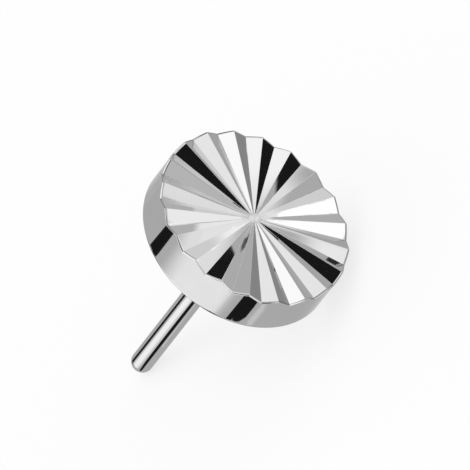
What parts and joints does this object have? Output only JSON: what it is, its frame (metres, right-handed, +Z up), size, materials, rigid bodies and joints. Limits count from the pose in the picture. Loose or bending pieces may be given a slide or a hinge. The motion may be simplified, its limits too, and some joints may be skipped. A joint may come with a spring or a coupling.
{
  "type": "threadless piercing top",
  "caption": "Round polished metal head with a sunburst of flat facets, on a straight smooth pin that slips into a hollow threadless post.",
  "frame": {"origin": "on the surface the top lies on, under the middle of its bounding box", "axes": "+X from the pin's tip towards the head along the surface, which is the longest way; +Z up; the face looks towards +X and up"},
  "size_m": [0.007, 0.005, 0.005],
  "materials": {
    "polished_head": "mirror-polished titanium with bright-cut facets",
    "polished_pin": "polished drawn titanium wire"
  },
  "bodies": {
    "root": {"fluted_head": "polished_head", "pin": "polished_pin"}
  },
  "joints": []
}
